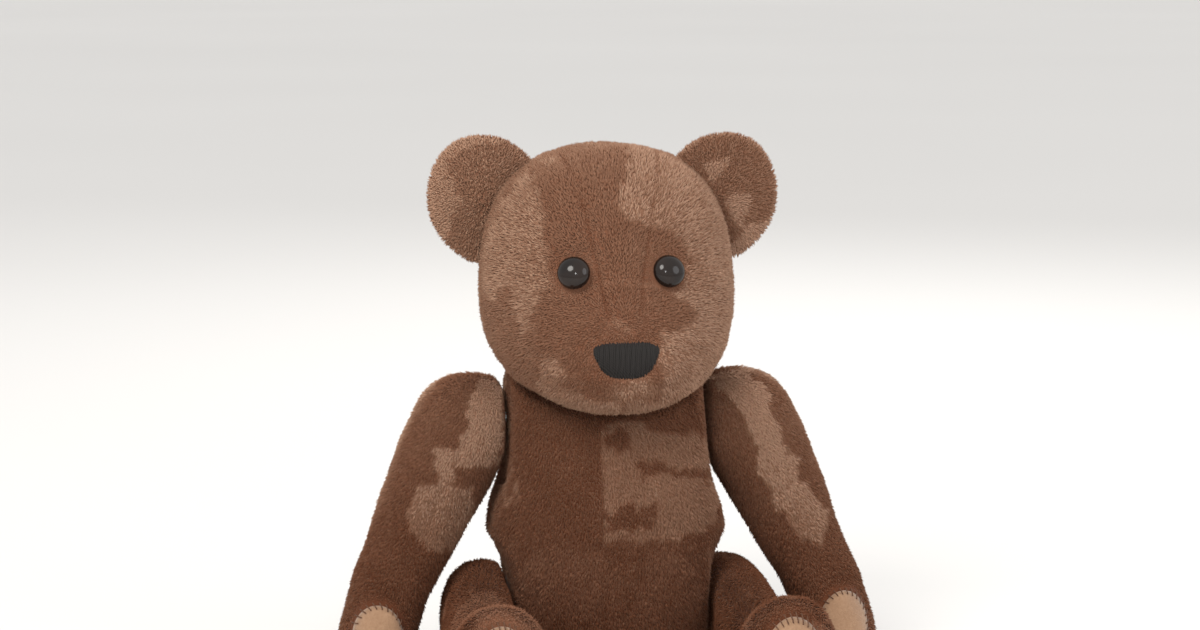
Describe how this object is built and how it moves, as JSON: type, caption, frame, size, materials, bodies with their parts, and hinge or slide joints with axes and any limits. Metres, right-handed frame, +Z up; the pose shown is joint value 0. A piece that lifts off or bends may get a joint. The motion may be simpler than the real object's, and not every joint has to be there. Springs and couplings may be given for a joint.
{
  "type": "jointed teddy bear",
  "caption": "Sitting plush teddy bear with a disc-jointed head, arms and legs that turn and stay where they are put.",
  "frame": {"origin": "middle of the flat seat, on the surface the bear sits on", "axes": "+Z up through the neck, -Y the way the bear faces, +X the bear's own left"},
  "size_m": [0.274, 0.2012, 0.2786],
  "materials": {
    "plush_dark": "matte",
    "plush_light": "matte",
    "filling": "matte",
    "felt": "matte",
    "eye_plastic": "gloss",
    "nylon": "satin",
    "nose_thread": "satin",
    "hardboard": "matte",
    "steel": "satin"
  },
  "bodies": {
    "torso": {"torso_cover": "plush_dark", "torso_stuffing": "filling", "neck_body_disc": "hardboard", "shoulder_left_body_disc": "hardboard", "shoulder_right_body_disc": "hardboard", "hip_left_body_disc": "hardboard", "hip_right_body_disc": "hardboard"},
    "head": {"head_cover": "plush_light", "head_stuffing": "filling", "ear_left": "plush_light", "ear_right": "plush_light", "eye_left": "eye_plastic", "eye_right": "eye_plastic", "eye_washer_left": "nylon", "eye_washer_right": "nylon", "nose": "nose_thread", "neck_limb_disc": "hardboard", "neck_limb_washer": "steel", "neck_bolt": "steel", "neck_nut": "steel", "neck_body_washer": "steel"},
    "left_arm": {"arm_cover_left": "plush_dark", "arm_stuffing_left": "filling", "paw_pad_left": "felt", "shoulder_left_limb_disc": "hardboard", "shoulder_left_limb_washer": "steel", "shoulder_left_bolt": "steel", "shoulder_left_nut": "steel", "shoulder_left_body_washer": "steel"},
    "left_leg": {"leg_cover_left": "plush_dark", "leg_stuffing_left": "filling", "foot_pad_left": "felt", "hip_left_limb_disc": "hardboard", "hip_left_limb_washer": "steel", "hip_left_bolt": "steel", "hip_left_nut": "steel", "hip_left_body_washer": "steel"},
    "right_arm": {"arm_cover_right": "plush_dark", "arm_stuffing_right": "filling", "paw_pad_right": "felt", "shoulder_right_limb_disc": "hardboard", "shoulder_right_limb_washer": "steel", "shoulder_right_bolt": "steel", "shoulder_right_nut": "steel", "shoulder_right_body_washer": "steel"},
    "right_leg": {"leg_cover_right": "plush_dark", "leg_stuffing_right": "filling", "foot_pad_right": "felt", "hip_right_limb_disc": "hardboard", "hip_right_limb_washer": "steel", "hip_right_bolt": "steel", "hip_right_nut": "steel", "hip_right_body_washer": "steel"}
  },
  "joints": [
    {"name": "neck_swivel", "type": "hinge", "parent": "torso", "child": "head", "pos_m": [0, 0, 0.165], "axis": [0, -0.3746, 0.9272], "continuous": true},
    {"name": "left_shoulder", "type": "hinge", "parent": "torso", "child": "left_arm", "pos_m": [0.05, 0, 0.138], "axis": [1, 0, 0], "continuous": true},
    {"name": "right_shoulder", "type": "hinge", "parent": "torso", "child": "right_arm", "pos_m": [-0.05, 0, 0.138], "axis": [1, 0, 0], "continuous": true},
    {"name": "left_hip", "type": "hinge", "parent": "torso", "child": "left_leg", "pos_m": [0.05, 0, 0.035], "axis": [1, 0, 0], "range_deg": [-8, 110]},
    {"name": "right_hip", "type": "hinge", "parent": "torso", "child": "right_leg", "pos_m": [-0.05, 0, 0.035], "axis": [1, 0, 0], "range_deg": [-8, 110]}
  ]
}
